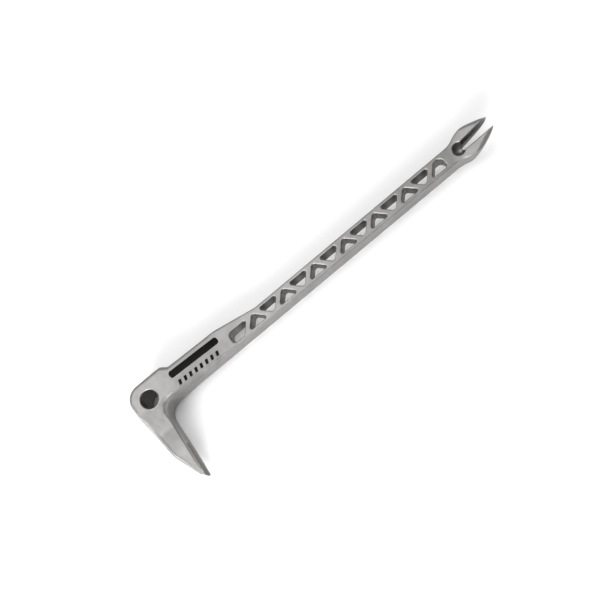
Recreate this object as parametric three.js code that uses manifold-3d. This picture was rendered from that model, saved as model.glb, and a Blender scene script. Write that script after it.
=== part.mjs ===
// One-piece cast claw bar: L-shaped striking head with a nail claw, solid neck,
// truss-cut shank and a dished, up-curved nail claw at the far end.
// Millimetres, +Z up. The bar lies on its side: +X runs along the shank from the
// head to the end claw, the head claw points to -Y, the marked side faces +Z.

import * as THREE from 'three';
import { mergeVertices } from 'three/addons/utils/BufferGeometryUtils.js';
import Module from 'manifold-3d';

const wasm = await Module();
wasm.setup();

// ---- overall sizes
const LENGTH = 304.8;          // heel to end-claw tips
const HEIGHT = 76.2;           // striking face to head-claw tips
const HEEL_WIDTH = 25.4;       // across the striking face, side to side
const SHANK_THICK = 12.7;      // side to side
const SHANK_DEPTH = 13.2;      // top chord to bottom chord

// ---- head
const HOLE_DIAMETER = 12.7;
const HEEL_WALL = 7.35;        // metal left outside the hole, behind and above
const BOSS_LENGTH = 30.6;      // striking face, heel to its far end
const BOSS_RISE = 3.4;         // striking face above the neck
const NECK_DEPTH = 19.3;       // top to bottom of the neck
const NECK_END = 76;           // hole centre to where the neck starts to slope
const SLOPE_RUN = 29;          // length of that slope
const INNER_RADIUS = 9;        // inside corner of the L
const CLAW_LEAN = 3.4;         // head-claw inner face, degrees off square
const CLAW_FLARE = 17.8;       // widest side-to-side size of the head claw
const CLAW_TIP_WIDTH = 14;
const CLAW_TIP_THICK = 1.9;

// ---- truss
const CHORD = 2.4;             // top and bottom rails of the truss
const WEB = 3.6;               // diagonal ribs
const TRIANGLES = 12;          // triangular windows between the two end windows
const TRUSS_START = 67.3;      // hole centre to the first window
const FIRST_BAY = 21.3;        // first window edge to the first triangle centre
const LAST_BAY = 18.6;         // last triangle centre to the last window edge

// ---- end claw
const END_CLAW = 34;           // length of the flared part
const END_CLAW_WIDTH = 21;
const END_TIP_SPREAD = 7.6;    // outside width over the two tips
const END_RISE = 4.2;          // tips above the flat of the shank
const END_SOLID = 5.8;         // last window to the flare
const SLOT_ROOT = 4.2;         // nail slot width at its root
const SLOT_MOUTH = 5.6;        // and at the tips
const PIT_DIAMETER = 9.2;
const PIT_DEPTH = 6.4;

// ---- edges, markings
const EDGE_HEEL = 2.8;
const EDGE_SHANK = 1.0;
const EDGE_CLAW = 0.9;         // inner edges of the head claw
const CLAW_CHAMFER = 3.6;      // its outer edges, at their widest
const EDGE_WINDOW = 0.55;
const MARK_DEPTH = 0.55;
const MARK_GAP = 0.15;         // side clearance of a fill in its recess
const MARK_FLOOR_GAP = 0.1;
const MARK_SINK = 0.05;        // fill surface below the metal
const TICKS = 8;

// ---- derived positions; the hole centre is the working origin
const HOLE_R = HOLE_DIAMETER / 2;
const BACK_X = -(HOLE_R + HEEL_WALL);
const BOSS_Y = HOLE_R + HEEL_WALL;
const BOSS_X = BACK_X + BOSS_LENGTH;
const NECK_TOP = BOSS_Y - BOSS_RISE;
const LOW_Y = NECK_TOP - NECK_DEPTH;
const SHANK_TOP = LOW_Y + SHANK_DEPTH;
const MID_Y = (LOW_Y + SHANK_TOP) / 2;
const TIP_X = BACK_X + LENGTH;
const TIP_Y = BOSS_Y - HEIGHT;
const FLARE_X = TIP_X - END_CLAW;
const TRUSS_END = FLARE_X - END_SOLID;
const HALF = SHANK_THICK / 2;
const HEEL_HALF = HEEL_WIDTH / 2;
const SLOPE_END = NECK_END + SLOPE_RUN - 15;
const TAPER_START = BOSS_X - 4;
const TAPER_END = TRUSS_START - 4.5;
const LEAN = Math.tan(THREE.MathUtils.degToRad(CLAW_LEAN));

const smooth = THREE.MathUtils.smoothstep;
const lerp = THREE.MathUtils.lerp;

// Eased value through stations [position, value].
function through(stations, s) {
  const last = stations.length - 1;
  if (s <= stations[0][0]) return stations[0][1];
  if (s >= stations[last][0]) return stations[last][1];
  let i = 0;
  while (s > stations[i + 1][0]) i += 1;
  const [a, va] = stations[i];
  const [b, vb] = stations[i + 1];
  return lerp(va, vb, (s - a) / (b - a));
}

// Upper and lower side surfaces of the end claw, seen from its edge.
const END_UPPER = new THREE.CubicBezierCurve(
  new THREE.Vector2(FLARE_X, HALF),
  new THREE.Vector2(FLARE_X + END_CLAW * 0.3, HALF + 0.1),
  new THREE.Vector2(FLARE_X + END_CLAW * 0.65, HALF + END_RISE * 0.75),
  new THREE.Vector2(TIP_X, HALF + END_RISE),
).getPoints(16).map((p) => [p.x, p.y]);
const END_LOWER = new THREE.CubicBezierCurve(
  new THREE.Vector2(FLARE_X + END_CLAW * 0.1, -HALF),
  new THREE.Vector2(FLARE_X + END_CLAW * 0.42, -HALF * 0.2),
  new THREE.Vector2(FLARE_X + END_CLAW * 0.75, -HALF * 0.1),
  new THREE.Vector2(TIP_X, HALF + END_RISE - 1.5),
).getPoints(16).map((p) => [p.x, p.y]);

// Half thickness of the head end at a point of the side view: full over the heel,
// a straight taper along the neck, thin again at its lower edge and at the claw root.
function headHalf(x, y) {
  const along = THREE.MathUtils.clamp((TAPER_END - x) / (TAPER_END - TAPER_START), 0, 1);
  const neck = smooth(x, 3, 15);
  const across = smooth(y, lerp(-25, LOW_Y - 1.5, neck), lerp(-2, LOW_Y + 2.6, neck));
  const heel = (HEEL_HALF - HALF) * along * across;
  const flare = (CLAW_FLARE / 2 - HALF) * smooth(-y, 9, 44);
  const tip = (CLAW_FLARE - CLAW_TIP_WIDTH) / 2 * smooth(-y, 48, -TIP_Y);
  const claw = x < BOSS_X ? flare - tip : 0;
  return HALF + heel + claw;
}

function sideTop(x, y) {
  return x > FLARE_X ? through(END_UPPER, x) : headHalf(x, y);
}

function sideBottom(x, y) {
  return x > FLARE_X ? through(END_LOWER, x) : -headHalf(x, y);
}

// Closed outline from corner points [x, y, radius], each corner a true arc.
function rounded(corners) {
  const out = [];
  const n = corners.length;
  for (let i = 0; i < n; i += 1) {
    const [x, y, r] = corners[i];
    const p = new THREE.Vector2(x, y);
    const before = new THREE.Vector2(...corners[(i + n - 1) % n].slice(0, 2)).sub(p);
    const after = new THREE.Vector2(...corners[(i + 1) % n].slice(0, 2)).sub(p);
    const turn = Math.acos(THREE.MathUtils.clamp(
      before.clone().normalize().dot(after.clone().normalize()), -1, 1));
    if (!r || turn > Math.PI - 0.01) {
      out.push(p);
      continue;
    }
    const t = r / Math.tan(turn / 2);
    const from = p.clone().addScaledVector(before.clone().normalize(), t);
    const to = p.clone().addScaledVector(after.clone().normalize(), t);
    const bis = before.clone().normalize().add(after.clone().normalize()).normalize();
    const centre = p.clone().addScaledVector(bis, r / Math.sin(turn / 2));
    const a0 = Math.atan2(from.y - centre.y, from.x - centre.x);
    let sweep = Math.atan2(to.y - centre.y, to.x - centre.x) - a0;
    if (sweep > Math.PI) sweep -= 2 * Math.PI;
    if (sweep < -Math.PI) sweep += 2 * Math.PI;
    const steps = Math.max(2, Math.ceil(Math.abs(sweep) / (r > 6 ? 0.18 : 0.6)));
    for (let k = 0; k <= steps; k += 1) {
      const a = a0 + sweep * k / steps;
      out.push(new THREE.Vector2(centre.x + r * Math.cos(a), centre.y + r * Math.sin(a)));
    }
  }
  return tidy(out);
}

// Drops repeated points and splits long edges where the thickness changes.
function tidy(points) {
  const kept = points.filter((p, i) => {
    const q = points[(i + points.length - 1) % points.length];
    return p.distanceTo(q) > 0.05;
  });
  const out = [];
  kept.forEach((p, i) => {
    const q = kept[(i + 1) % kept.length];
    out.push(p);
    const mid = p.clone().lerp(q, 0.5);
    const varies = mid.x < NECK_END || mid.x > FLARE_X;
    const parts = varies ? Math.ceil(p.distanceTo(q) / 5) : 1;
    for (let k = 1; k < parts; k += 1) out.push(p.clone().lerp(q, k / parts));
  });
  return out;
}

// Direction at each outline point that leads into the metal, mitred.
function inward(points, isHole) {
  const ccw = THREE.ShapeUtils.area(points) > 0;
  const side = ccw !== isHole ? 1 : -1;
  const n = points.length;
  return points.map((p, i) => {
    const e0 = p.clone().sub(points[(i + n - 1) % n]).normalize();
    const e1 = points[(i + 1) % n].clone().sub(p).normalize();
    const n0 = new THREE.Vector2(-e0.y, e0.x);
    const n1 = new THREE.Vector2(-e1.y, e1.x);
    const m = n0.clone().add(n1).normalize();
    const stretch = Math.min(1.4, 1 / Math.max(0.3, m.dot(n0)));
    return m.multiplyScalar(side * stretch);
  });
}

// Copy of an outline whose straight runs sag a hair into the metal and whose points
// are never in line with those of another opening, so that every point is used
// when the face is divided into triangles.
function bowed(points, isHole, order) {
  const way = inward(points, isHole);
  const n = points.length;
  const straight = points.map((p, i) => {
    const e0 = p.clone().sub(points[(i + n - 1) % n]).normalize();
    const e1 = points[(i + 1) % n].clone().sub(p).normalize();
    return Math.abs(e0.x * e1.y - e0.y * e1.x) < 1e-5;
  });
  return points.map((p, i) => {
    const hair = 2e-4 * ((i * 37 + order * 53) % 29) / 29;
    if (!straight[i]) return p.clone().addScaledVector(way[i], hair);
    let back = 1;
    while (straight[(i + n - back) % n] && back < n) back += 1;
    let ahead = 1;
    while (straight[(i + ahead) % n] && ahead < n) ahead += 1;
    return p.clone().addScaledVector(way[i], 1e-3 * back * ahead + hair);
  });
}

// Splits inner edges of a flat triangulation until none is longer than `limit`.
function refine(points, triangles, limit) {
  let tris = triangles;
  for (let pass = 0; pass < 7; pass += 1) {
    const uses = new Map();
    const key = (a, b) => (a < b ? a * 100000 + b : b * 100000 + a);
    tris.forEach(([a, b, c]) => {
      [[a, b], [b, c], [c, a]].forEach(([p, q]) => {
        uses.set(key(p, q), (uses.get(key(p, q)) || 0) + 1);
      });
    });
    const middle = new Map();
    const cut = (a, b) => {
      const k = key(a, b);
      if (uses.get(k) !== 2) return -1;
      if (points[a].distanceTo(points[b]) <= limit(points[a], points[b])) return -1;
      if (!middle.has(k)) {
        middle.set(k, points.length);
        points.push(points[a].clone().lerp(points[b], 0.5));
      }
      return middle.get(k);
    };
    const next = [];
    tris.forEach(([a, b, c]) => {
      const ab = cut(a, b);
      const bc = cut(b, c);
      const ca = cut(c, a);
      const count = (ab >= 0) + (bc >= 0) + (ca >= 0);
      if (count === 0) next.push([a, b, c]);
      if (count === 3) next.push([a, ab, ca], [ab, b, bc], [ca, bc, c], [ab, bc, ca]);
      if (count === 1) {
        if (ab >= 0) next.push([a, ab, c], [ab, b, c]);
        if (bc >= 0) next.push([b, bc, a], [bc, c, a]);
        if (ca >= 0) next.push([c, ca, b], [ca, a, b]);
      }
      if (count === 2) {
        if (ab < 0) next.push([c, ca, bc], [ca, a, b], [ca, b, bc]);
        if (bc < 0) next.push([a, ab, ca], [ab, b, c], [ab, c, ca]);
        if (ca < 0) next.push([b, bc, ab], [bc, c, a], [bc, a, ab]);
      }
    });
    tris = next;
    if (middle.size === 0) break;
  }
  return tris;
}

// Positive when the triangles run anticlockwise.
function turning(points, triangles) {
  return triangles.reduce((sum, [a, b, c]) => sum
    + (points[b].x - points[a].x) * (points[c].y - points[a].y)
    - (points[c].x - points[a].x) * (points[b].y - points[a].y), 0);
}

const twice = (p, q, r) => (q.x - p.x) * (r.y - p.y) - (r.x - p.x) * (q.y - p.y);

// Adds inner points to a triangulation by dividing the triangle around each.
function stitch(points, triangles, extra) {
  const tris = triangles.slice();
  extra.forEach((e) => {
    const at = tris.findIndex(([a, b, c]) => twice(points[a], points[b], e) > 0.4
      && twice(points[b], points[c], e) > 0.4 && twice(points[c], points[a], e) > 0.4);
    if (at < 0) return;
    const [a, b, c] = tris[at];
    const k = points.push(e) - 1;
    tris.splice(at, 1, [a, b, k], [b, c, k], [c, a, k]);
  });
  return tris;
}

// Flips inner edges until no triangle could be rounder.
function relax(points, triangles) {
  const tris = triangles.map((t) => t.slice());
  for (let pass = 0; pass < 60; pass += 1) {
    const owner = new Map();
    tris.forEach((t, i) => {
      for (let k = 0; k < 3; k += 1) owner.set(t[k] * 100000 + t[(k + 1) % 3], [i, t[(k + 2) % 3]]);
    });
    const touched = new Set();
    let flips = 0;
    owner.forEach(([i, c], key) => {
      const b = key % 100000;
      const a = (key - b) / 100000;
      const other = owner.get(b * 100000 + a);
      if (!other || a > b) return;
      const [j, d] = other;
      if (touched.has(i) || touched.has(j)) return;
      const [pa, pb, pc, pd] = [points[a], points[b], points[c], points[d]];
      const ca = pa.clone().sub(pc);
      const cb = pb.clone().sub(pc);
      const da = pa.clone().sub(pd);
      const db = pb.clone().sub(pd);
      const sum = Math.abs(Math.atan2(ca.cross(cb), ca.dot(cb)))
        + Math.abs(Math.atan2(da.cross(db), da.dot(db)));
      if (sum < Math.PI + 1e-3) return;
      if (twice(pc, pd, pb) < 0.01 || twice(pd, pc, pa) < 0.01) return;
      tris[i] = [c, d, b];
      tris[j] = [d, c, a];
      touched.add(i);
      touched.add(j);
      flips += 1;
    });
    if (flips === 0) break;
  }
  return tris;
}

// Inner points that carry the curved parts of the side faces.
function innerPoints() {
  const out = [];
  const column = (x, low, high, step) => {
    for (let y = low; y <= high; y += step) out.push(new THREE.Vector2(x, y));
  };
  for (let x = BACK_X + 2; x < 8; x += 4.8) column(x, TIP_Y + 3, BOSS_Y - 3, 4.8);
  [TAPER_START, TAPER_END].forEach((x) => column(x, LOW_Y + 1.5, BOSS_Y - 2.5, 3.9));
  for (let x = 20; x < TAPER_END - 3; x += 8) column(x, LOW_Y + 1.5, LOW_Y + 4.5, 1.4);
  for (let x = FLARE_X; x < TIP_X - 1; x += 4) column(x, MID_Y - 9, MID_Y + 9.1, 4.5);
  return out;
}

const FINE = (p, q) => {
  const x = (p.x + q.x) / 2;
  return x < NECK_END - 8 || x > FLARE_X - 2 ? 9 : 60;
};

// Solid between two height surfaces over an outline with holes; its rims are
// rolled over by edge(x, y, isHole).
function castSlab(outer, holes, top, bottom, edge, rollSteps, extra = []) {
  const position = [];
  const index = [];
  const contours = [outer, ...holes];
  const add = (x, y, z) => {
    position.push(x, y, z);
    return position.length / 3 - 1;
  };
  const capRings = [];
  contours.forEach((points, ci) => {
    const isHole = ci > 0;
    const way = inward(points, isHole);
    const flip = (THREE.ShapeUtils.area(points) > 0) === isHole;
    const rings = [];
    for (let j = 0; j <= rollSteps; j += 1) {
      const a = rollSteps ? j / rollSteps * Math.PI / 2 : 0;
      rings.push(points.map((p, i) => {
        const r = edge(p.x, p.y, isHole);
        const q = p.clone().addScaledVector(way[i], r * (1 - Math.cos(a)));
        return [q, r * (1 - Math.sin(a))];
      }));
    }
    capRings.push(rings[rollSteps].map(([q]) => q));
    const up = rings.map((ring) => ring.map(([q, d]) => add(q.x, q.y, top(q.x, q.y) - d)));
    const down = rings.map((ring) => ring.map(([q, d]) => add(q.x, q.y, bottom(q.x, q.y) + d)));
    const stack = [...down.slice().reverse(), ...up];
    const n = points.length;
    for (let s = 0; s + 1 < stack.length; s += 1) {
      for (let i = 0; i < n; i += 1) {
        const k = (i + 1) % n;
        const quad = [stack[s][i], stack[s][k], stack[s + 1][k], stack[s + 1][i]];
        if (flip) quad.reverse();
        index.push(quad[0], quad[1], quad[2], quad[0], quad[2], quad[3]);
      }
    }
    contours[ci] = { up: up[rollSteps], down: down[rollSteps] };
  });
  const flat = capRings.flat().map((p) => p.clone());
  const ups = contours.flatMap((c) => c.up);
  const downs = contours.flatMap((c) => c.down);
  const bows = capRings.map((ring, ci) => bowed(ring, ci > 0, ci));
  const faces = THREE.ShapeUtils.triangulateShape(bows[0], bows.slice(1));
  const rim = flat.length;
  const round = turning(flat, faces) > 0 ? faces : faces.map(([a, b, c]) => [a, c, b]);
  const tris = relax(flat, refine(flat, relax(flat, stitch(flat, round, extra)), FINE));
  for (let i = rim; i < flat.length; i += 1) {
    ups.push(add(flat[i].x, flat[i].y, top(flat[i].x, flat[i].y)));
    downs.push(add(flat[i].x, flat[i].y, bottom(flat[i].x, flat[i].y)));
  }
  const ccw = turning(flat, tris) > 0;
  tris.forEach(([a, b, c]) => {
    const [p, q] = ccw ? [b, c] : [c, b];
    index.push(ups[a], ups[p], ups[q], downs[a], downs[q], downs[p]);
  });
  const geometry = new THREE.BufferGeometry();
  geometry.setAttribute('position', new THREE.Float32BufferAttribute(position, 3));
  geometry.setIndex(index);
  return geometry;
}

// Plug through matching outlines stacked at rising heights, [points, z] each.
function plug(levels) {
  const n = levels[0][0].length;
  const position = [];
  levels.forEach(([points, z]) => points.forEach((p) => position.push(p.x, p.y, z)));
  const index = [];
  const ccw = THREE.ShapeUtils.area(levels[0][0]) > 0;
  for (let s = 0; s + 1 < levels.length; s += 1) {
    for (let i = 0; i < n; i += 1) {
      const k = (i + 1) % n;
      const quad = [s * n + i, s * n + k, (s + 1) * n + k, (s + 1) * n + i];
      if (!ccw) quad.reverse();
      index.push(quad[0], quad[1], quad[2], quad[0], quad[2], quad[3]);
    }
  }
  const flat = bowed(levels[0][0], true, 0);
  const tris = THREE.ShapeUtils.triangulateShape(flat, []);
  const facesUp = turning(flat, tris) > 0;
  const top = (levels.length - 1) * n;
  tris.forEach(([a, b, c]) => {
    const [p, q] = facesUp ? [b, c] : [c, b];
    index.push(top + a, top + p, top + q, a, q, p);
  });
  const geometry = new THREE.BufferGeometry();
  geometry.setAttribute('position', new THREE.Float32BufferAttribute(position, 3));
  geometry.setIndex(index);
  return geometry;
}

// The outline of an opening, grown by a distance.
function grown(points, distance) {
  const way = inward(points, true);
  return points.map((p, i) => p.clone().addScaledVector(way[i], distance));
}

function solid(geometry) {
  const g = geometry.clone();
  g.deleteAttribute('normal');
  g.deleteAttribute('uv');
  const m = mergeVertices(g, 1e-5);
  const faces = [];
  for (let i = 0; i < m.index.count; i += 3) {
    const [a, b, c] = [m.index.getX(i), m.index.getX(i + 1), m.index.getX(i + 2)];
    if (a !== b && b !== c && c !== a) faces.push(a, b, c);
  }
  return new wasm.Manifold(new wasm.Mesh({
    numProp: 3,
    vertProperties: new Float32Array(m.attributes.position.array),
    triVerts: new Uint32Array(faces),
  }));
}

function geometryOf(manifold) {
  const mesh = manifold.getMesh();
  const g = new THREE.BufferGeometry();
  const p = new Float32Array(mesh.numVert * 3);
  for (let i = 0; i < mesh.numVert; i += 1) {
    for (let k = 0; k < 3; k += 1) p[i * 3 + k] = mesh.vertProperties[i * mesh.numProp + k];
  }
  g.setAttribute('position', new THREE.BufferAttribute(p, 3));
  g.setIndex(new THREE.BufferAttribute(new Uint32Array(mesh.triVerts), 1));
  return g;
}

// ---- side outline of the whole casting
const neckEnd = NECK_END - 15;
const clawTopX = 3 - 0.001;
const clawFoot = clawTopX + (TIP_Y - LOW_Y) * LEAN;
const endHalf = END_CLAW_WIDTH / 2;
const tipHalf = END_TIP_SPREAD / 2;
const shankHalf = SHANK_DEPTH / 2;
const flareAt = (share, half) => [FLARE_X + END_CLAW * share, half];
const flareCurve = new THREE.SplineCurve([
  flareAt(-0.06, shankHalf), flareAt(0.02, shankHalf + 0.05), flareAt(0.14, shankHalf + 0.85),
  flareAt(0.26, endHalf - 1.35), flareAt(0.39, endHalf - 0.25), flareAt(0.5, endHalf),
  flareAt(0.64, endHalf - 0.85), flareAt(0.77, endHalf - 2.35), flareAt(0.89, endHalf - 4.3),
  flareAt(0.985, tipHalf + 0.15),
].map(([x, y]) => new THREE.Vector2(x, y))).getPoints(26);

const outline = tidy([
  ...rounded([
    [BACK_X, BOSS_Y, 10.7],
    [BACK_X, -9.5, 30],
    [BACK_X + 2.75, TIP_Y + 22.5, 26],
    [clawFoot - CLAW_TIP_THICK - 0.6, TIP_Y + 1.2, 0.7],
    [clawFoot - CLAW_TIP_THICK + 0.4, TIP_Y, 0.6],
    [clawFoot, TIP_Y, 0.45],
    [clawTopX, LOW_Y, INNER_RADIUS],
    [NECK_END + 4, LOW_Y, 0],
    [FLARE_X - END_CLAW * 0.1, LOW_Y, 0],
    [FLARE_X - END_CLAW * 0.1, SHANK_TOP, 0],
    [SLOPE_END + 3, SHANK_TOP, 30],
    [neckEnd, NECK_TOP, 26],
    [BOSS_X + 5.6, NECK_TOP, 2],
    [BOSS_X + 1, BOSS_Y, 3.4],
  ]).flatMap((p, i, all) => {
    const lowFlare = Math.abs(p.x - (FLARE_X - END_CLAW * 0.1)) < 0.01 && p.y < MID_Y;
    if (!lowFlare) return [p];
    const low = flareCurve.map((q) => new THREE.Vector2(q.x, MID_Y - q.y));
    const high = flareCurve.map((q) => new THREE.Vector2(q.x, MID_Y + q.y)).reverse();
    const tips = [
      new THREE.Vector2(TIP_X, MID_Y - tipHalf + 0.35),
      new THREE.Vector2(TIP_X, MID_Y + tipHalf - 0.35),
    ];
    return [p, ...low, ...tips, ...high];
  }),
]);

// ---- truss windows: ribs keep one thickness whatever the spacing
const bandTop = SHANK_TOP - CHORD;
const bandLow = LOW_Y + CHORD;
const band = bandTop - bandLow;
const pitch = (TRUSS_END - TRUSS_START - FIRST_BAY - LAST_BAY) / (TRIANGLES - 1);
const apexHigh = band + 0.36;
let cot = 1;
for (let i = 0; i < 60; i += 1) {
  cot = (pitch - WEB * Math.hypot(1, cot)) / (2 * apexHigh - band);
  cot = THREE.MathUtils.clamp(cot, 0.3, 2.4);
  if (i > 10) cot = (cot + (pitch - WEB * Math.hypot(1, cot)) / (2 * apexHigh - band)) / 2;
}
const halfBase = apexHigh * cot;
const rib = WEB * Math.hypot(1, cot);
const run = band * cot;

const windows = [];
const firstX = TRUSS_START + FIRST_BAY;
windows.push(rounded([
  [TRUSS_START, bandTop, 3.3],
  [TRUSS_START, bandLow, 2.8],
  [firstX - halfBase - rib, bandLow, 1.6],
  [firstX - halfBase - rib + run, bandTop, 1.15],
]));
for (let i = 0; i < TRIANGLES; i += 1) {
  const x = firstX + i * pitch;
  const up = i % 2 === 0;
  const base = up ? bandLow : bandTop;
  const apex = up ? bandLow + apexHigh : bandTop - apexHigh;
  windows.push(rounded([
    [x - halfBase, base, 1.15],
    [x + halfBase, base, 1.15],
    [x, apex, 2],
  ]));
}
const lastX = firstX + (TRIANGLES - 1) * pitch;
windows.push(rounded([
  [lastX + halfBase + rib, bandTop, 1.8],
  [lastX + halfBase + rib - run, bandLow, 1.15],
  [TRUSS_END, bandLow, 1.6],
  [TRUSS_END, bandTop, 3.8],
]));

const hole = [];
for (let i = 0; i < 40; i += 1) {
  const a = i / 40 * 2 * Math.PI;
  hole.push(new THREE.Vector2(HOLE_R * Math.cos(a), HOLE_R * Math.sin(a)));
}

function edgeRadius(x, y, isHole) {
  if (isHole) return x < NECK_END - 30 ? 0.8 : EDGE_WINDOW;
  if (x > FLARE_X) return lerp(EDGE_SHANK, 0.45, smooth(x, FLARE_X + 6, TIP_X - 3));
  if (y < LOW_Y - 3) {
    const fromInner = clawTopX + (y - LOW_Y) * LEAN - x;
    const back = lerp(2.6, CLAW_CHAMFER, smooth(-y, 14, 34));
    const widest = lerp(EDGE_CLAW, back, smooth(fromInner, 1, 3));
    return lerp(widest, 0.35, smooth(-y, 46, -TIP_Y - 1));
  }
  return lerp(EDGE_HEEL, EDGE_SHANK, smooth(x, 10, SLOPE_END));
}

let bar = solid(castSlab(
  outline, [hole], sideTop, sideBottom, edgeRadius, 2, innerPoints()));
windows.forEach((points) => {
  const rim = [[3, 0.6], [1, 0.02], [0.3, -0.3], [0, -1]].map(
    ([grow, z]) => [grown(points, grow * EDGE_WINDOW), HALF + z * EDGE_WINDOW]);
  const under = rim.map(([points, z]) => [points, -z]);
  bar = bar.subtract(solid(plug([...under, ...rim.reverse()])));
});

// ---- head claw: V nail slot with dished lips, opening at the tips
const slotRootY = TIP_Y + 26.8;
const slotHalfRoot = 2.2;
const slotHalfTip = 3.5;
const vee = (grow) => rounded([
  [-slotHalfTip - grow, TIP_Y - 6, 0],
  [slotHalfTip + grow, TIP_Y - 6, 0],
  [slotHalfRoot + grow, slotRootY + grow, slotHalfRoot + grow - 0.05],
  [-slotHalfRoot - grow, slotRootY + grow, slotHalfRoot + grow - 0.05],
]);
const inClaw = new THREE.Matrix4().makeTranslation(clawTopX - LOW_Y * LEAN, 0, 0)
  .multiply(new THREE.Matrix4().makeRotationZ(-Math.atan(LEAN)))
  .multiply(new THREE.Matrix4().makeBasis(
    new THREE.Vector3(0, 0, -1), new THREE.Vector3(0, 1, 0), new THREE.Vector3(1, 0, 0)));
const slotCut = plug([[vee(0), -40], [vee(0), 20]]).applyMatrix4(inClaw);
const dishCut = plug([[vee(-0.2), -3.2], [vee(3), 1]]).applyMatrix4(inClaw);
bar = bar.subtract(solid(slotCut)).subtract(solid(dishCut));

// Box whose bottom face is the plane through three points; it lies on the `away` side.
function halfSpace(a, b, c, away) {
  const n = new THREE.Vector3().crossVectors(b.clone().sub(a), c.clone().sub(a)).normalize();
  if (n.dot(away) < 0) n.negate();
  const box = new THREE.BoxGeometry(160, 160, 40).translate(0, 0, 20);
  box.applyQuaternion(new THREE.Quaternion().setFromUnitVectors(new THREE.Vector3(0, 0, 1), n));
  return box.translate(a.x, a.y, a.z);
}

// ---- end claw: through slot, nail pit, dished lips, tip bevels and boat-shaped underside
const endRootX = FLARE_X + END_CLAW * 0.275;
const endVee = (grow) => rounded([
  [TIP_X + 6, MID_Y - SLOT_MOUTH / 2 - grow, 0],
  [TIP_X + 6, MID_Y + SLOT_MOUTH / 2 + grow, 0],
  [endRootX - grow, MID_Y + SLOT_ROOT / 2 + grow, SLOT_ROOT / 2 + grow - 0.05],
  [endRootX - grow, MID_Y - SLOT_ROOT / 2 - grow, SLOT_ROOT / 2 + grow - 0.05],
]);
bar = bar.subtract(solid(plug([[endVee(0), -20], [endVee(0), 30]])));
const riseAngle = Math.atan2(END_RISE, END_CLAW * 0.85);
const lips = plug([[endVee(-0.2), -2.6], [endVee(1.5), 2.4]])
  .translate(-endRootX, 0, 0).rotateY(-riseAngle).translate(endRootX, 0, HALF - 0.35);
bar = bar.subtract(solid(lips));
const pitProfile = [];
for (let i = 0; i <= 8; i += 1) {
  const a = i / 8 * Math.PI / 2;
  pitProfile.push(new THREE.Vector2(PIT_DIAMETER / 2 * Math.sin(a), -PIT_DEPTH * Math.cos(a)));
}
pitProfile.push(new THREE.Vector2(PIT_DIAMETER / 2 + 0.6, 3), new THREE.Vector2(0, 3));
pitProfile[0].x = 0;
const pit = new THREE.LatheGeometry(pitProfile, 32).rotateX(Math.PI / 2)
  .translate(FLARE_X + 2.4 + PIT_DIAMETER / 2, MID_Y, HALF + 0.2);
bar = bar.subtract(solid(pit));
[1, -1].forEach((s) => {
  const cutter = halfSpace(
    new THREE.Vector3(FLARE_X + END_CLAW * 0.42, MID_Y + s * (endHalf - 0.6), HALF + 1.9),
    new THREE.Vector3(TIP_X - 1, MID_Y + s * (tipHalf - 0.7), HALF + END_RISE),
    new THREE.Vector3(FLARE_X + END_CLAW * 0.7, MID_Y + s * (endHalf - 1.7), HALF + 1.2),
    new THREE.Vector3(0.2, s, 0.8),
  );
  const underside = halfSpace(
    new THREE.Vector3(FLARE_X + END_CLAW * 0.25, MID_Y + s * (endHalf - 1), -HALF),
    new THREE.Vector3(FLARE_X + END_CLAW * 0.74, MID_Y + s * (endHalf - 1.9), HALF + 0.6),
    new THREE.Vector3(FLARE_X + END_CLAW * 0.74, MID_Y + s * (endHalf - 4.7), HALF - 4.4),
    new THREE.Vector3(0.2, s, -0.5),
  );
  bar = bar.subtract(solid(cutter)).subtract(solid(underside));
});

// ---- markings: a plain bar-shaped badge and a row of plain slanted ticks
const BADGE_X = 20;
const BADGE_LENGTH = 40;
const BADGE_Y = 3.6;
const BADGE_HEIGHT = 5.2;
const TICK_X = 22;
const TICK_STEP = 4.4;
const TICK_Y = -4.3;
const TICK_HEIGHT = 3.6;
const TICK_WIDTH = 2.2;
const TICK_SLANT = 0.9;

const badgeOutline = (inset) => rounded([
  [BADGE_X + inset, BADGE_Y - BADGE_HEIGHT / 2 + inset, BADGE_HEIGHT * 0.38 - inset],
  [BADGE_X + BADGE_LENGTH - inset, BADGE_Y - BADGE_HEIGHT / 2 + inset, BADGE_HEIGHT * 0.38 - inset],
  [BADGE_X + BADGE_LENGTH - inset, BADGE_Y + BADGE_HEIGHT / 2 - inset, BADGE_HEIGHT * 0.38 - inset],
  [BADGE_X + inset, BADGE_Y + BADGE_HEIGHT / 2 - inset, BADGE_HEIGHT * 0.38 - inset],
]);
const tickOutline = (i, inset) => {
  const x = TICK_X + i * TICK_STEP;
  const low = TICK_Y - TICK_HEIGHT / 2 + inset;
  const high = TICK_Y + TICK_HEIGHT / 2 - inset;
  return rounded([
    [x + inset, low, 0.3],
    [x + TICK_WIDTH - inset, low, 0.3],
    [x + TICK_WIDTH + TICK_SLANT - inset, high, 0.3],
    [x + TICK_SLANT + inset, high, 0.3],
  ]);
};
const marks = [['badge_inlay', badgeOutline]];
for (let i = 0; i < TICKS; i += 1) marks.push([`tick_inlay_${i + 1}`, (g) => tickOutline(i, g)]);

const sheer = () => 0;
const fills = marks.map(([name, shape]) => {
  const recess = castSlab(shape(0), [],
    (x, y) => sideTop(x, y) + 3, (x, y) => sideTop(x, y) - MARK_DEPTH, sheer, 0);
  bar = bar.subtract(solid(recess));
  const fill = castSlab(shape(MARK_GAP), [],
    (x, y) => sideTop(x, y) - MARK_SINK,
    (x, y) => sideTop(x, y) - MARK_DEPTH + MARK_FLOOR_GAP, sheer, 0);
  return [name, geometryOf(solid(fill))];
});

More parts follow.
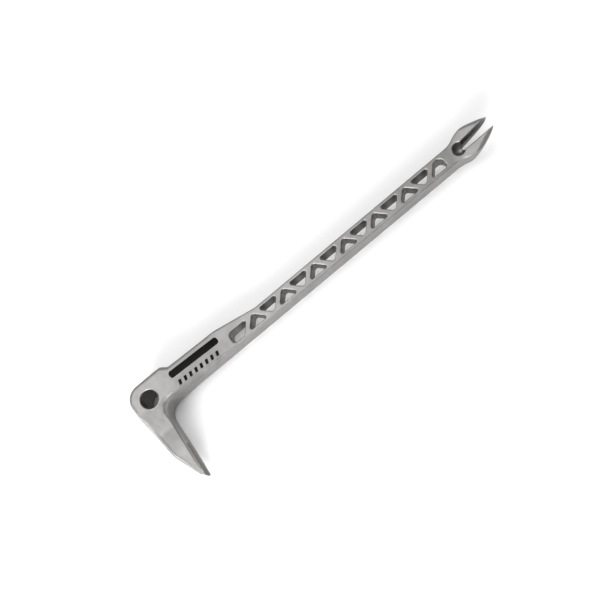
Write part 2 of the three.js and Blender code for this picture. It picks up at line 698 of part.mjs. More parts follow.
// ---- assembly, with the origin under the middle of the bounding box
const group = new THREE.Group();
group.name = 'cast_claw_bar';
const body = new THREE.Group();
body.name = 'one_piece_bar';
body.position.set(-(BACK_X + TIP_X) / 2, -(BOSS_Y + TIP_Y) / 2, HEEL_HALF);
group.add(body);

const metal = { color: 0x9c9a97, metalness: 0.9, roughness: 0.45 };
const enamel = { color: 0x111112, metalness: 0.0, roughness: 0.5 };

function place(name, geometry, look) {
  const shown = geometry.toNonIndexed();
  shown.computeVertexNormals();
  const mesh = new THREE.Mesh(shown, new THREE.MeshStandardMaterial(look));
  mesh.name = name;
  body.add(mesh);
}

place('bar', geometryOf(bar), metal);
fills.forEach(([name, geometry]) => place(name, geometry, enamel));

export default group;
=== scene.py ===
"""Looks of the one-piece cast claw bar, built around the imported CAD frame.

The casting is shaped as a signed distance field in millimetres, with the hanging hole's
centre as the working origin, and turned into one fine mesh whose points lie on that field.
"""

import math

import bpy
import numpy as np
from mathutils import Matrix, Vector


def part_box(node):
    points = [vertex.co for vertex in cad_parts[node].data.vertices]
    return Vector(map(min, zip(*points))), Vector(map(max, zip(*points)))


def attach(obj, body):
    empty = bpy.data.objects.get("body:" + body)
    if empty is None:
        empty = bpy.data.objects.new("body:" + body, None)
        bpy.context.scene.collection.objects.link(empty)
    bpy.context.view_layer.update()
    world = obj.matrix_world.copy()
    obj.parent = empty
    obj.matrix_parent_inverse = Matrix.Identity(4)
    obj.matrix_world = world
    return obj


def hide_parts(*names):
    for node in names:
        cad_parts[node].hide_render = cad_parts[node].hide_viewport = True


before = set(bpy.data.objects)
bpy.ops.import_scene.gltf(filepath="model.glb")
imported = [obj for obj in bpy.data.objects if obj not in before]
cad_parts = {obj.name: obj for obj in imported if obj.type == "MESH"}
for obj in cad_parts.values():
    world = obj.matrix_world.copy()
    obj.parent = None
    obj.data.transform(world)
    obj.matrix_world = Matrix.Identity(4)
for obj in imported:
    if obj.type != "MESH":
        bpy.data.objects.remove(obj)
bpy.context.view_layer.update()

# ---- driving sizes, in millimetres; the overall ones come from the frame
MM = 0.001
BAR_LOW, BAR_HIGH = [np.array(corner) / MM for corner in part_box("bar")]
LENGTH, HEIGHT, HEEL_WIDTH = BAR_HIGH - BAR_LOW
SHANK_THICK = 12.7          # side to side
SHANK_DEPTH = 13.2          # top rail to bottom rail

HOLE_R = 6.35
HEEL_WALL = 7.35            # metal left behind the hole and above it
BOSS_LENGTH = 30.6          # striking face
BOSS_RISE = 3.4             # striking face above the neck
NECK_DEPTH = 19.3
NECK_END = 76               # hole centre to the slope down to the shank
SLOPE_RUN = 29
INNER_RADIUS = 9            # inside corner of the L

CLAW_LEAN = math.tan(math.radians(3.4))
CLAW_TOP_X = 3              # the head claw's inner face at the neck's lower edge
CLAW_FLARE = 17.8           # widest, side to side
CLAW_TIP_WIDTH = 14
CLAW_TIP_THICK = 1.9
CLAW_WIDENS = (9, 44)       # depths below the hole between which it widens
CLAW_NARROWS = 48           # depth from which it narrows to its tips
HEAD_SLOT_LENGTH = 26.8
HEAD_SLOT_HALF = (2.2, 3.5)     # half widths at its root and its mouth
HEAD_DISH_REACH = 2.3       # lips worn hollow beside the slot
HEAD_DISH_SLOPE = 0.75

CHORD = 2.4                 # top and bottom rails of the truss
WEB = 3.6                   # diagonal ribs
TRIANGLES = 12
TRUSS_START = 67.3          # hole centre to the first window
FIRST_BAY = 21.3
LAST_BAY = 18.6

END_CLAW = 34               # length of the flared part
END_CLAW_WIDTH = 21
END_TIP_SPREAD = 7.6        # over the two tips
END_RISE = 4.2              # tips above the flat of the shank
END_TIP_THICK = 1.5
END_SOLID = 5.8             # last window to the flare
SLOT_ROOT = 4.2
SLOT_MOUTH = 5.6
END_DISH_REACH = 1.0
END_DISH_SLOPE = 0.34
END_DISH_COSINE = 0.94
END_DISH_FLOOR = 2.6
PIT_R = 4.6
PIT_DEPTH = 6.4
PIT_SETBACK = 2.4           # start of the flare to the pit

# ---- rounding of the edges
EDGE_HEEL = 2.8
EDGE_SHANK = 1.0
EDGE_CLAW = 0.9             # head claw, inner edges
CLAW_BACK_EDGE = 2.6        # head claw, outer edges at its root
CLAW_CHAMFER = 3.6          # and at their widest
EDGE_CLAW_TIP = 0.35
EDGE_END_TIP = 0.45
EDGE_HOLE = 0.8
EDGE_WINDOW = 0.6
EDGE_SLOT = 0.4
EDGE_DISH = 0.5
EDGE_BEVEL = 0.6
EDGE_UNDERSIDE = 1.2

# ---- markings
MARK_DEPTH = 0.55
MARK_GAP = 0.15             # side clearance of a fill in its recess
MARK_FLOOR_GAP = 0.1
MARK_SHOULDER = ((0, -0.16), (0.05, -0.08), (0.16, -0.05))      # a fill's inset and lift
BADGE = ((20, 1.0), (60, 6.2))
BADGE_CORNER = 1.976
TICKS = 8
TICK_START = 22
TICK_PITCH = 4.4
TICK_WIDTH = 2.2
TICK_SLANT = 0.9
TICK_ROW = (-6.1, -2.5)
TICK_CORNER = 0.3

# ---- places that follow from them, from the hole's centre
BACK_X = -(HOLE_R + HEEL_WALL)
BOSS_Y = HOLE_R + HEEL_WALL
BOSS_X = BACK_X + BOSS_LENGTH
NECK_TOP = BOSS_Y - BOSS_RISE
LOW_Y = NECK_TOP - NECK_DEPTH
SHANK_TOP = LOW_Y + SHANK_DEPTH
MID_Y = (LOW_Y + SHANK_TOP) / 2
TIP_X = BACK_X + LENGTH
TIP_Y = BOSS_Y - HEIGHT
FLARE_X = TIP_X - END_CLAW
TRUSS_END = FLARE_X - END_SOLID
HALF = SHANK_THICK / 2
HEEL_HALF = HEEL_WIDTH / 2
SLOPE_END = NECK_END + SLOPE_RUN - 15
TAPER_START = BOSS_X - 4
TAPER_END = TRUSS_START - 4.5
TAPER_EASE = 0.16
CLAW_FOOT_X = CLAW_TOP_X + (TIP_Y - LOW_Y) * CLAW_LEAN
SLOT_ROOT_Y = TIP_Y + HEAD_SLOT_LENGTH
END_ROOT_X = FLARE_X + END_CLAW * 0.275
PIT_X = FLARE_X + PIT_SETBACK + PIT_R
ORIGIN = np.array([BAR_LOW[0] - BACK_X, BAR_HIGH[1] - BOSS_Y, (BAR_LOW[2] + BAR_HIGH[2]) / 2])

# The heel's extra width fades between these heights, at the head claw and at the neck.
SWELL_AT_CLAW = (-25, -2)
SWELL_AT_NECK = (LOW_Y - 1.5, LOW_Y + 2.6)
CLAW_TO_NECK_X = (3, 15)

# ---- meshing
GRID = 0.56                 # cell of the surface net
ARC_STEP = 0.7              # longest chord of an outline's arcs
CARVED_CREASE = math.radians(55)
FILL_CREASE = math.radians(60)


# ---- small helpers on arrays
def smooth(value, low, high):
    t = np.clip((value - low) / (high - low), 0, 1)
    return t * t * (3 - 2 * t)


def mix(a, b, t):
    return a + (b - a) * t


def both(a, b, radius):
    """Where two solids overlap, with the edge between them rounded."""
    u = np.maximum(a + radius, 0)
    v = np.maximum(b + radius, 0)
    return np.minimum(-radius, np.maximum(a, b)) + np.hypot(u, v)


def steepness(height, x, y):
    """Turns a height over a sloping surface into a distance from it."""
    step = 0.05
    dx = (height(x + step, y) - height(x - step, y)) / (2 * step)
    dy = (height(x, y + step) - height(x, y - step)) / (2 * step)
    return 1 / np.sqrt(1 + dx * dx + dy * dy)


def arc_corners(corners):
    """Closed outline through corners (x, y, radius), each corner a true arc."""
    out = []
    for i, (x, y, radius) in enumerate(corners):
        corner = Vector((x, y))
        before = (Vector(corners[i - 1][:2]) - corner).normalized()
        after = (Vector(corners[(i + 1) % len(corners)][:2]) - corner).normalized()
        opening = before.angle(after)
        if radius == 0 or opening > math.pi - 0.01:
            out.append((x, y))
            continue
        centre = corner + (before + after).normalized() * radius / math.sin(opening / 2)
        start = corner + before * radius / math.tan(opening / 2) - centre
        sweep = start.angle_signed(corner + after * radius / math.tan(opening / 2) - centre)
        steps = max(5, math.ceil(abs(sweep) * radius / ARC_STEP))
        for k in range(steps + 1):
            turn = -sweep * k / steps
            c, s = math.cos(turn), math.sin(turn)
            out.append((centre.x + start.x * c - start.y * s,
                        centre.y + start.x * s + start.y * c))
    return out


def spline(points, steps):
    """Open Catmull-Rom curve through points."""
    p = np.array([points[0], *points, points[-1]], float)
    out = []
    for k in range(steps + 1):
        s = k / steps * (len(points) - 1)
        i = min(int(s), len(points) - 2)
        t = s - i
        a, b, c, d = p[i:i + 4]
        out.append(0.5 * (2 * b + (c - a) * t + (2 * a - 5 * b + 4 * c - d) * t * t
                          + (3 * b - a - 3 * c + d) * t ** 3))
    return [tuple(q) for q in out]


def outline_distance(points, x, y, reach=4):
    """Signed distance to a closed outline, negative inside, exact within reach of it."""
    p = np.array(points)
    low, high = p.min(0) - reach, p.max(0) + reach
    x, y = np.broadcast_arrays(x, y)
    far = np.hypot(np.maximum(np.maximum(low[0] - x, x - high[0]), 0),
                   np.maximum(np.maximum(low[1] - y, y - high[1]), 0)) + reach
    near = (x > low[0]) & (x < high[0]) & (y > low[1]) & (y < high[1])
    qx, qy = x[near], y[near]
    best = np.full(qx.shape, 1e9)
    inside = np.zeros(qx.shape, bool)
    for (ax, ay), (bx, by) in zip(p, np.roll(p, -1, axis=0)):
        ex, ey = bx - ax, by - ay
        wx, wy = qx - ax, qy - ay
        t = np.clip((wx * ex + wy * ey) / max(ex * ex + ey * ey, 1e-12), 0, 1)
        best = np.minimum(best, (wx - ex * t) ** 2 + (wy - ey * t) ** 2)
        if ay != by:
            inside ^= ((ay <= qy) != (by <= qy)) & (wx < wy * ex / ey)
    far[near] = np.where(inside, -1, 1) * np.sqrt(best)
    return far


# ---- side view of the casting
def casting_outline():
    """Striking boss, head claw, lower edge, end claw and upper edge, as one closed outline."""
    end_half = END_CLAW_WIDTH / 2
    tip_half = END_TIP_SPREAD / 2
    shank_half = SHANK_DEPTH / 2
    flare = spline([(FLARE_X + END_CLAW * share, half) for share, half in (
        (-0.06, shank_half), (0.02, shank_half + 0.05), (0.14, shank_half + 0.85),
        (0.26, end_half - 1.35), (0.39, end_half - 0.25), (0.5, end_half),
        (0.64, end_half - 0.85), (0.77, end_half - 2.35), (0.89, end_half - 4.3),
        (0.985, tip_half + 0.15))], 70)
    tips = [(TIP_X, MID_Y - tip_half + 0.35), (TIP_X, MID_Y + tip_half - 0.35)]
    foot = CLAW_FOOT_X
    return arc_corners([
        (BACK_X, BOSS_Y, 10.7),
        (BACK_X, -9.5, 30),
        (BACK_X + 2.75, TIP_Y + 22.5, 26),
        (foot - CLAW_TIP_THICK - 0.6, TIP_Y + 1.2, 0.7),
        (foot - CLAW_TIP_THICK + 0.4, TIP_Y, 0.6),
        (foot, TIP_Y, 0.45),
        (CLAW_TOP_X, LOW_Y, INNER_RADIUS),
        (FLARE_X - END_CLAW * 0.1, LOW_Y, 0),
        *[(x, MID_Y - half, 0) for x, half in flare],
        *[(x, y, 0) for x, y in tips],
        *[(x, MID_Y + half, 0) for x, half in reversed(flare)],
        (FLARE_X - END_CLAW * 0.1, SHANK_TOP, 0),
        (SLOPE_END + 3, SHANK_TOP, 30),
        (NECK_END - 15, NECK_TOP, 26),
        (BOSS_X + 5.6, NECK_TOP, 2),
        (BOSS_X + 1, BOSS_Y, 3.4),
    ])


def truss_windows():
    """Fourteen openings whose ribs keep one thickness whatever their spacing."""
    top, low = SHANK_TOP - CHORD, LOW_Y + CHORD
    band = top - low
    pitch = (TRUSS_END - TRUSS_START - FIRST_BAY - LAST_BAY) / (TRIANGLES - 1)
    apex = band + 0.36
    cot = 1.0
    for _ in range(60):
        cot = (cot + (pitch - WEB * math.hypot(1, cot)) / (2 * apex - band)) / 2
    half, rib, run = apex * cot, WEB * math.hypot(1, cot), band * cot
    first = TRUSS_START + FIRST_BAY
    last = first + (TRIANGLES - 1) * pitch
    windows = [arc_corners([
        (TRUSS_START, top, 3.3), (TRUSS_START, low, 2.8),
        (first - half - rib, low, 1.6), (first - half - rib + run, top, 1.15)])]
    for i in range(TRIANGLES):
        x = first + i * pitch
        base, point = (low, low + apex) if i % 2 == 0 else (top, top - apex)
        windows.append(arc_corners([
            (x - half, base, 1.15), (x + half, base, 1.15), (x, point, 2)]))
    windows.append(arc_corners([
        (last + half + rib, top, 1.8), (last + half + rib - run, low, 1.15),
        (TRUSS_END, low, 1.6), (TRUSS_END, top, 3.8)]))
    return windows


# ---- thickness of the casting
def bezier_height(points):
    """Height over x of a cubic curve, as arrays to interpolate."""
    t = np.linspace(0, 1, 80)[:, None]
    p = np.array(points)
    curve = ((1 - t) ** 3 * p[0] + 3 * (1 - t) ** 2 * t * p[1] + 3 * (1 - t) * t ** 2 * p[2]
             + t ** 3 * p[3])
    return curve[:, 0], curve[:, 1]


END_UPPER = bezier_height([
    (FLARE_X, HALF), (FLARE_X + END_CLAW * 0.3, HALF + 0.1),
    (FLARE_X + END_CLAW * 0.65, HALF + END_RISE * 0.75), (TIP_X, HALF + END_RISE)])
END_LOWER = bezier_height([
    (FLARE_X + END_CLAW * 0.1, -HALF), (FLARE_X + END_CLAW * 0.42, -HALF * 0.2),
    (FLARE_X + END_CLAW * 0.75, -HALF * 0.1), (TIP_X, HALF + END_RISE - END_TIP_THICK)])


def ramp(x, low, high, ease):
    """Straight ramp from 0 to 1 with softened ends."""
    t = (x - low) / (high - low)
    start = 0.5 * (t + np.sqrt(t * t + ease * ease))
    return start - 0.5 * (t - 1 + np.sqrt((t - 1) ** 2 + ease * ease))


def head_half(x, y):
    """Half the thickness of the head, neck and shank."""
    along = 1 - ramp(x, TAPER_START, TAPER_END, TAPER_EASE)
    neck = smooth(x, *CLAW_TO_NECK_X)
    fade = [mix(at_claw, at_neck, neck) for at_claw, at_neck in zip(SWELL_AT_CLAW, SWELL_AT_NECK)]
    across = smooth(y, *fade)
    flare = (CLAW_FLARE / 2 - HALF) * smooth(-y, *CLAW_WIDENS)
    tip = (CLAW_FLARE - CLAW_TIP_WIDTH) / 2 * smooth(-y, CLAW_NARROWS, -TIP_Y)
    claw = np.where(x < BOSS_X, flare - tip, 0)
    return HALF + (HEEL_HALF - HALF) * along * across + claw


def side_top(x, y):
    return np.where(x > FLARE_X, np.interp(x, *END_UPPER), head_half(x, y))


def side_bottom(x, y):
    return np.where(x > FLARE_X, np.interp(x, *END_LOWER), -head_half(x, y))


def edge_radius(x, y):
    """Rounding of the rim: full at the heel, slight on the shank, sharp at both claws' tips."""
    end = mix(EDGE_SHANK, EDGE_END_TIP, smooth(x, FLARE_X + 6, TIP_X - 3))
    from_inner = CLAW_TOP_X + (y - LOW_Y) * CLAW_LEAN - x
    back = mix(CLAW_BACK_EDGE, CLAW_CHAMFER, smooth(-y, 14, 34))
    claw = mix(EDGE_CLAW, back, smooth(from_inner, 1, 3))
    claw = mix(claw, EDGE_CLAW_TIP, smooth(-y, 46, -TIP_Y - 1))
    head = mix(EDGE_HEEL, EDGE_SHANK, smooth(x, 10, SLOPE_END))
    head = mix(head, claw, smooth(-y, -LOW_Y, -LOW_Y + 8) * (x < BOSS_X))
    return np.where(x > FLARE_X - 20, end, head)


# ---- cuts
def plane_through(a, b, c, away):
    """Signed height over the plane through three points, positive on the side of away."""
    a, b, c = (np.array(p, float) for p in (a, b, c))
    normal = np.cross(b - a, c - a)
    normal /= np.linalg.norm(normal)
    if normal @ np.array(away) < 0:
        normal = -normal
    level = normal @ a
    return lambda x, y, z: normal[0] * x + normal[1] * y + normal[2] * z - level


def slot_distance(along, across, root, half_root, half_mouth, reach):
    """Distance outside a tapering slot with a round root; along grows towards its mouth."""
    slant = math.atan((half_mouth - half_root) / reach)
    sides = (np.abs(across) - half_root - (along - root) * math.tan(slant)) * math.cos(slant)
    end = np.hypot(along - root - half_root, across) - half_root
    return np.where(along > root + half_root, sides, end)


OUTLINE = casting_outline()
WINDOWS = truss_windows()
END_BEVELS = [plane_through(
    (FLARE_X + END_CLAW * 0.42, MID_Y + s * (END_CLAW_WIDTH / 2 - 0.6), HALF + 1.9),
    (TIP_X - 1, MID_Y + s * (END_TIP_SPREAD / 2 - 0.7), HALF + END_RISE),
    (FLARE_X + END_CLAW * 0.7, MID_Y + s * (END_CLAW_WIDTH / 2 - 1.7), HALF + 1.2),
    (0.2, s, 0.8)) for s in (1, -1)]
END_UNDERSIDES = [plane_through(
    (FLARE_X + END_CLAW * 0.25, MID_Y + s * (END_CLAW_WIDTH / 2 - 1), -HALF),
    (FLARE_X + END_CLAW * 0.74, MID_Y + s * (END_CLAW_WIDTH / 2 - 1.9), HALF + 0.6),
    (FLARE_X + END_CLAW * 0.74, MID_Y + s * (END_CLAW_WIDTH / 2 - 4.7), HALF - 4.4),
    (0.2, s, -0.5)) for s in (1, -1)]


def cut_head_claw(solid, x, y, z):
    """Nail slot with dished lips."""
    depth = (CLAW_TOP_X + (y - LOW_Y) * CLAW_LEAN - x) / math.hypot(1, CLAW_LEAN)
    reach = SLOT_ROOT_Y - TIP_Y
    slot = slot_distance(-y, z, -SLOT_ROOT_Y, *HEAD_SLOT_HALF, reach)
    slant = math.hypot(1, HEAD_DISH_SLOPE)
    dish = (slot - HEAD_DISH_REACH + np.maximum(depth, -1) * HEAD_DISH_SLOPE) / slant
    solid = both(solid, -dish, EDGE_DISH)
    return both(solid, -slot, EDGE_SLOT)


def cut_end_claw(solid, x, y, z):
    """Nail slot, nail-head pit, dished lips and tip bevels."""
    across = y - MID_Y
    reach = TIP_X - END_ROOT_X
    slot = slot_distance(x, across, END_ROOT_X, SLOT_ROOT / 2, SLOT_MOUTH / 2, reach)
    rise = math.atan2(END_RISE, END_CLAW * 0.85)
    above = (z - HALF + 0.35) * math.cos(rise) - (x - END_ROOT_X) * math.sin(rise)
    lips = (slot - END_DISH_REACH - END_DISH_SLOPE * above) * END_DISH_COSINE
    for bevel in END_BEVELS:
        solid = both(solid, bevel(x, y, z), EDGE_BEVEL)
    for underside in END_UNDERSIDES:
        solid = both(solid, underside(x, y, z), EDGE_UNDERSIDE)
    solid = both(solid, -np.maximum(lips, -above - END_DISH_FLOOR), EDGE_SLOT)
    down = np.minimum(z - HALF - 0.2, 0) * PIT_R / PIT_DEPTH
    pit = np.sqrt((x - PIT_X) ** 2 + across ** 2 + down ** 2) - PIT_R
    solid = both(solid, -pit, EDGE_DISH)
    return both(solid, -slot, EDGE_SLOT)


def casting(x, y, z):
    """Signed distance of the whole casting, for a grid or for loose points."""
    rim = edge_radius(x, y)
    top = (z - side_top(x, y)) * steepness(side_top, x, y)
    bottom = (side_bottom(x, y) - z) * steepness(side_bottom, x, y)
    side = outline_distance(OUTLINE, x, y)
    solid = both(side, top, rim)
    solid = both(solid, bottom, rim)
    hole = np.hypot(x, y) - HOLE_R
    solid = both(solid, -hole, EDGE_HOLE)
    opening = outline_distance(WINDOWS[0], x, y)
    for window in WINDOWS[1:]:
        opening = np.minimum(opening, outline_distance(window, x, y))
    solid = both(solid, -opening, EDGE_WINDOW)
    solid = cut_head_claw(solid, x, y, z)
    return cut_end_claw(solid, x, y, z)


# ---- mesh of a distance field
CORNERS = np.array([(i, j, k) for i in (0, 1) for j in (0, 1) for k in (0, 1)])
EDGES = [(a, b) for a in range(8) for b in range(a + 1, 8)
         if abs(CORNERS[a] - CORNERS[b]).sum() == 1]


def net_of(field, low, high, step):
    """Surface net: one point in each cell the surface crosses, one quad on each crossed edge."""
    axes = [np.arange(low[k] - 2 * step, high[k] + 2 * step, step) for k in range(3)]
    value = field(axes[0][:, None, None], axes[1][None, :, None], axes[2][None, None, :])
    inside = value < 0
    shape = np.array(value.shape) - 1
    count = np.zeros(shape, np.int8)
    for i, j, k in CORNERS:
        count += inside[i:i + shape[0], j:j + shape[1], k:k + shape[2]]
    cells = np.argwhere((count > 0) & (count < 8))
    index = np.full(shape, -1, np.int64)
    index[tuple(cells.T)] = np.arange(len(cells))
    at = [value[tuple((cells + corner).T)] for corner in CORNERS]
    total = np.zeros((len(cells), 3))
    hits = np.zeros(len(cells))
    for a, b in EDGES:
        crossed = (at[a] < 0) != (at[b] < 0)
        t = np.where(crossed, at[a] / np.where(crossed, at[a] - at[b], 1), 0)
        total += crossed[:, None] * (CORNERS[a] + (CORNERS[b] - CORNERS[a]) * t[:, None])
        hits += crossed
    points = (cells + total / hits[:, None]) * step + np.array([axis[0] for axis in axes])
    quads = []
    for axis in range(3):
        u, v = (axis + 1) % 3, (axis + 2) % 3
        ahead = np.roll(inside, -1, axis)
        start = np.argwhere(inside != ahead)
        start = start[start[:, axis] < shape[axis]]
        ring = []
        for du, dv in ((0, 0), (-1, 0), (-1, -1), (0, -1)):
            cell = start.copy()
            cell[:, u] += du
            cell[:, v] += dv
            ring.append(index[tuple(cell.T)])
        quad = np.array(ring).T
        leaving = inside[tuple(start.T)]
        quad[~leaving] = quad[~leaving][:, ::-1]
        quads.append(quad)
    return points, np.concatenate(quads)


def slope_of(field, points):
    """The field's slope at loose points."""
    step = 0.04
    out = []
    for k in range(3):
        shift = np.zeros(3)
        shift[k] = step
        out.append((field(*(points + shift).T) - field(*(points - shift).T)) / (2 * step))
    return np.array(out).T


def normals_of(field, points):
    slope = slope_of(field, points)
    return slope / np.linalg.norm(slope, axis=1, keepdims=True)


def settle(field, points, limit, rounds=2):
    """Moves points onto the surface along the field's slope."""
    for _ in range(rounds):
        slope = slope_of(field, points)
        steep = np.maximum((slope ** 2).sum(1), 0.25)
        move = slope * (field(*points.T) / steep)[:, None]
        size = np.linalg.norm(move, axis=1, keepdims=True)
        points = points - move * np.minimum(1, limit / np.maximum(size, 1e-9))
    return points


def edge_wear(field, points, depth=0.9):
    """How near each point is to an outer edge, from 0 on open faces to 1."""
    inward = points - depth * normals_of(field, points)
    return np.clip((field(*inward.T) + depth) / (0.5 * depth), 0, 1)


def hollow_shade_mask(field, points, reaches=(2.5, 5.0, 8.0)):
    """How shut in each point is by metal facing it, from 0 on open faces to 1: the mask for painted
    shade in hollows.
    """
    outward = normals_of(field, points)
    shut = [1 - np.clip(field(*(points + reach * outward).T) / reach, 0, 1) for reach in reaches]
    return smooth(sum(shut) / len(reaches), 0.12, 0.8)


def mesh_object(name, points, faces, material):
    mesh = bpy.data.meshes.new(name)
    mesh.from_pydata((points + ORIGIN) * MM, [], faces)
    mesh.validate()
    mesh.shade_smooth()
    mesh.materials.append(material)
    made = bpy.data.objects.new(name, mesh)
    bpy.context.scene.collection.objects.link(made)
    return made


# ---- materials
def new_material(name):
    material = bpy.data.materials.new(name)
    material.use_nodes = True
    nodes, links = material.node_tree.nodes, material.node_tree.links
    return material, nodes, links, nodes["Principled BSDF"]


def add_noise(nodes, links, scale, detail, roughness=0.6):
    place = nodes.new("ShaderNodeTexCoord")
    noise = nodes.new("ShaderNodeTexNoise")
    noise.inputs["Scale"].default_value = scale
    noise.inputs["Detail"].default_value = detail
    noise.inputs["Roughness"].default_value = roughness
    links.new(place.outputs["Object"], noise.inputs["Vector"])
    return noise.outputs["Fac"]


def add_ramp(nodes, links, source, stops):
    ramp_node = nodes.new("ShaderNodeValToRGB")
    elements = ramp_node.color_ramp.elements
    while len(elements) < len(stops):
        elements.new(0.5)
    for element, (position, colour) in zip(elements, stops):
        element.position = position
        element.color = (*colour, 1)
    links.new(source, ramp_node.inputs["Fac"])
    return ramp_node.outputs["Color"]


def add_mix(nodes, links, kind, factor, a, b):
    node = nodes.new("ShaderNodeMix")
    node.data_type = "RGBA"
    node.blend_type = kind
    node.inputs["Factor"].default_value = 1.0
    if factor:
        links.new(factor, node.inputs["Factor"])
    a_socket, b_socket = [socket for socket in node.inputs if socket.type == "RGBA"]
    links.new(a, a_socket)
    links.new(b, b_socket)
    return next(socket for socket in node.outputs if socket.type == "RGBA")


def add_range(nodes, links, source, low, high, to_low, to_high):
    node = nodes.new("ShaderNodeMapRange")
    ends = {"From Min": low, "From Max": high, "To Min": to_low, "To Max": to_high}
    for socket, value in ends.items():
        node.inputs[socket].default_value = value
    links.new(source, node.inputs["Value"])
    return node.outputs["Result"]


def add_math(nodes, links, operation, a, b):
    node = nodes.new("ShaderNodeMath")
    node.operation = operation
    links.new(a, node.inputs[0])
    links.new(b, node.inputs[1])
    return node.outputs["Value"]


def add_attribute(nodes, name):
    node = nodes.new("ShaderNodeAttribute")
    node.attribute_name = name
    return node.outputs["Fac"]


def add_bump(nodes, links, source, strength, distance, below=None):
    bump = nodes.new("ShaderNodeBump")
    bump.inputs["Strength"].default_value = strength
    bump.inputs["Distance"].default_value = distance
    links.new(source, bump.inputs["Height"])
    if below:
        links.new(below, bump.inputs["Normal"])
    return bump.outputs["Normal"]


def cast_titanium():
    """Mottled cast skin, brighter on rubbed edges, and darkened in hollows by painted shade."""
    material, nodes, links, shader = new_material("cast_titanium")
    shader.inputs["Metallic"].default_value = 1.0
    mottle = add_noise(nodes, links, 260, 6)
    clouds = add_noise(nodes, links, 60, 3)
    grain = add_noise(nodes, links, 1900, 4)

    tint = add_ramp(nodes, links, clouds, [
        (0.32, (0.240, 0.233, 0.226)), (0.5, (0.275, 0.269, 0.264)), (0.68, (0.306, 0.301, 0.298))])
    shade = add_ramp(nodes, links, mottle, [(0.3, (0.86, 0.86, 0.86)), (0.7, (1, 1, 1))])
    cast = add_mix(nodes, links, "MULTIPLY", None, tint, shade)
    bright = add_ramp(nodes, links, mottle, [
        (0.3, (0.35, 0.345, 0.34)), (0.7, (0.42, 0.415, 0.41))])
    patchy = add_range(nodes, links, mottle, 0.35, 0.6, 0.25, 0.9)
    rubbed = add_math(nodes, links, "MULTIPLY", add_attribute(nodes, "edge_wear"), patchy)
    worn = add_mix(nodes, links, "MIX", rubbed, cast, bright)
    # painted shade: base colour darkened to about a quarter where metal shuts a point in (pit,
    # slots, windows, hole)
    painted_hollow_shade = add_ramp(nodes, links, add_attribute(nodes, "hollow_shade_mask"), [
        (0.0, (1, 1, 1)), (1.0, (0.26, 0.25, 0.24))])
    colour = add_mix(nodes, links, "MULTIPLY", None, worn, painted_hollow_shade)
    links.new(colour, shader.inputs["Base Color"])

    rough = add_range(nodes, links, mottle, 0.3, 0.7, 0.36, 0.50)
    polish = add_range(nodes, links, rubbed, 0, 1, 0, -0.08)
    links.new(add_math(nodes, links, "ADD", rough, polish), shader.inputs["Roughness"])

    dimples = add_bump(nodes, links, mottle, 0.35, 0.00025)
    skin = add_bump(nodes, links, grain, 0.25, 0.00008, dimples)
    links.new(skin, shader.inputs["Normal"])
    return material


def black_fill():
    """Matt black paint with a faint speckle."""
    material, nodes, links, shader = new_material("black_fill_paint")
    speck = add_noise(nodes, links, 900, 4)
    tone = add_ramp(nodes, links, speck, [
        (0.35, (0.002, 0.002, 0.002)), (0.75, (0.006, 0.006, 0.006))])
    shader.inputs["Specular IOR Level"].default_value = 0.08
    links.new(tone, shader.inputs["Base Color"])
    rough = add_range(nodes, links, speck, 0.3, 0.7, 0.42, 0.62)
    links.new(rough, shader.inputs["Roughness"])
    skin = add_bump(nodes, links, speck, 0.3, 0.00006)
    links.new(skin, shader.inputs["Normal"])
    return material


# ---- markings: a plain bar-shaped badge and a row of plain slanted ticks
def badge(inset):
    (left, low), (right, high) = BADGE
    left, low, right, high = left + inset, low + inset, right - inset, high - inset
    corner = BADGE_CORNER - inset
    return arc_corners([
        (left, low, corner), (right, low, corner), (right, high, corner), (left, high, corner)])


def tick(number, inset):
    left = TICK_START + TICK_PITCH * number + inset
    right = left + TICK_WIDTH - 2 * inset
    low, high = TICK_ROW[0] + inset, TICK_ROW[1] - inset
    return arc_corners([
        (left, low, TICK_CORNER), (right, low, TICK_CORNER),
        (right + TICK_SLANT, high, TICK_CORNER), (left + TICK_SLANT, high, TICK_CORNER)])


def layered(name, levels, material):
    """Closed solid through matching outlines, each lying at a depth under the marked side."""
    count = len(levels[0][0])
    points, faces = [], []
    for outline, lift in levels:
        x, y = np.array(outline).T
        points += zip(x, y, side_top(x, y) + lift)
    for level in range(len(levels) - 1):
        for i in range(count):
            k = (i + 1) % count
            a, b = level * count, (level + 1) * count
            faces.append((a + i, a + k, b + k, b + i))
    faces.append(tuple(reversed(range(count))))
    faces.append(tuple(range(len(points) - count, len(points))))
    return mesh_object(name, np.array(points), faces, material)


def carve(piece, cutters):
    """Takes the cutters out of a piece and drops them."""
    for cutter in cutters:
        modifier = piece.modifiers.new("carve", "BOOLEAN")
        modifier.operation = "DIFFERENCE"
        modifier.solver = "MANIFOLD"
        modifier.object = cutter
    graph = bpy.context.evaluated_depsgraph_get()
    carved = bpy.data.meshes.new_from_object(piece.evaluated_get(graph))
    piece.modifiers.clear()
    piece.data = carved
    carved.set_sharp_from_angle(angle=CARVED_CREASE)
    for cutter in cutters:
        bpy.data.objects.remove(cutter)


# ---- the pieces
metal = cast_titanium()
paint = black_fill()

points, quads = net_of(casting, BAR_LOW - ORIGIN, BAR_HIGH - ORIGIN, GRID)
points = settle(casting, points, 0.4)
bar = mesh_object("casting", points, quads, metal)
# edge wear, and the mask of the painted shade in hollows, kept on the mesh's points
for name, measure in (("edge_wear", edge_wear), ("hollow_shade_mask", hollow_shade_mask)):
    kept = bar.data.attributes.new(name, "FLOAT", "POINT")
    kept.data.foreach_set("value", measure(casting, points).astype(np.float32))
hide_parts("bar")
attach(bar, "root")

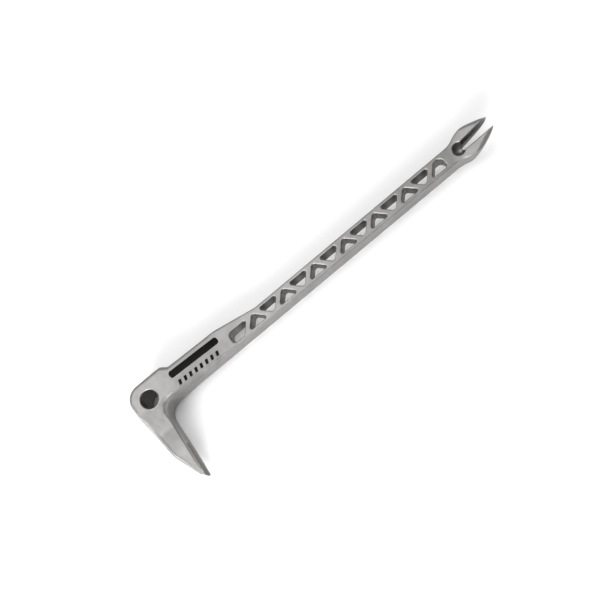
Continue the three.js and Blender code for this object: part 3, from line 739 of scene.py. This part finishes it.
marks = {"badge_inlay": badge}
for number in range(TICKS):
    marks[f"tick_inlay_{number + 1}"] = lambda inset, number=number: tick(number, inset)
carve(bar, [layered("recess", [(shape(0), -MARK_DEPTH), (shape(0), 1)], metal)
            for shape in marks.values()])
for node, shape in marks.items():
    levels = [(shape(MARK_GAP), MARK_FLOOR_GAP - MARK_DEPTH)]
    levels += [(shape(MARK_GAP + inset), lift) for inset, lift in MARK_SHOULDER]
    fill = layered(node.replace("inlay", "fill"), levels, paint)
    fill.data.set_sharp_from_angle(angle=FILL_CREASE)
    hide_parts(node)
    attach(fill, "root")


# ---- floor, light and camera, in metres
FLOOR_HALF = 30.0
FLOOR_TONE = 0.93
WORLD_STRENGTH = 0.64
LIGHTS = {      # place, aim, side of the square lamp, power in watts
    "key": ((-0.80, -0.80, 0.50), (0, 0, 0.01), 0.80, 20),
    "side": ((-1.00, 0.05, 0.20), (-0.10, 0, 0.01), 0.50, 3),
    "overhead": ((-0.32, 0.25, 1.15), (-0.12, 0, 0.01), 0.90, 6),
}
VIEW_TURN = math.radians(40.93)     # the shank runs up to the right by this much
AIM = Vector((-0.0190, 0.0120, 0.0190))
EYE = Vector((0.0209, -0.2337, 0.7419))
LENS = 69.15
SENSOR = 36


def plain_floor():
    material, _, _, shader = new_material("floor")
    shader.inputs["Base Color"].default_value = (FLOOR_TONE, FLOOR_TONE, FLOOR_TONE, 1)
    shader.inputs["Roughness"].default_value = 0.9
    mesh = bpy.data.meshes.new("floor")
    r = FLOOR_HALF
    mesh.from_pydata([(-r, -r, 0), (r, -r, 0), (r, r, 0), (-r, r, 0)], [], [(0, 1, 2, 3)])
    mesh.materials.append(material)
    floor = bpy.data.objects.new("floor", mesh)
    bpy.context.scene.collection.objects.link(floor)


def soft_light(name, place, aim, size, power):
    lamp = bpy.data.lights.new(name, "AREA")
    lamp.shape = "SQUARE"
    lamp.size = size
    lamp.energy = power
    made = bpy.data.objects.new(name, lamp)
    made.location = place
    made.rotation_euler = (Vector(aim) - Vector(place)).to_track_quat("-Z", "Y").to_euler()
    bpy.context.scene.collection.objects.link(made)


def studio_camera():
    back = (EYE - AIM).normalized()
    right = Vector((math.cos(VIEW_TURN), -math.sin(VIEW_TURN), 0))
    right = (right - back * right.dot(back)).normalized()
    axes = Matrix((right, back.cross(right), back)).transposed()
    data = bpy.data.cameras.new("camera")
    data.lens = LENS
    data.sensor_width = SENSOR
    data.clip_start = 0.01
    camera = bpy.data.objects.new("camera", data)
    camera.matrix_world = Matrix.Translation(EYE) @ axes.to_4x4()
    bpy.context.scene.collection.objects.link(camera)
    bpy.context.scene.camera = camera


def studio_world():
    world = bpy.data.worlds.new("studio")
    world.use_nodes = True
    background = world.node_tree.nodes["Background"]
    background.inputs["Color"].default_value = (1, 1, 1, 1)
    background.inputs["Strength"].default_value = WORLD_STRENGTH
    bpy.context.scene.world = world


bpy.context.scene.view_settings.view_transform = "Standard"
plain_floor()
studio_world()
studio_camera()
for name, settings in LIGHTS.items():
    soft_light(name, *settings)
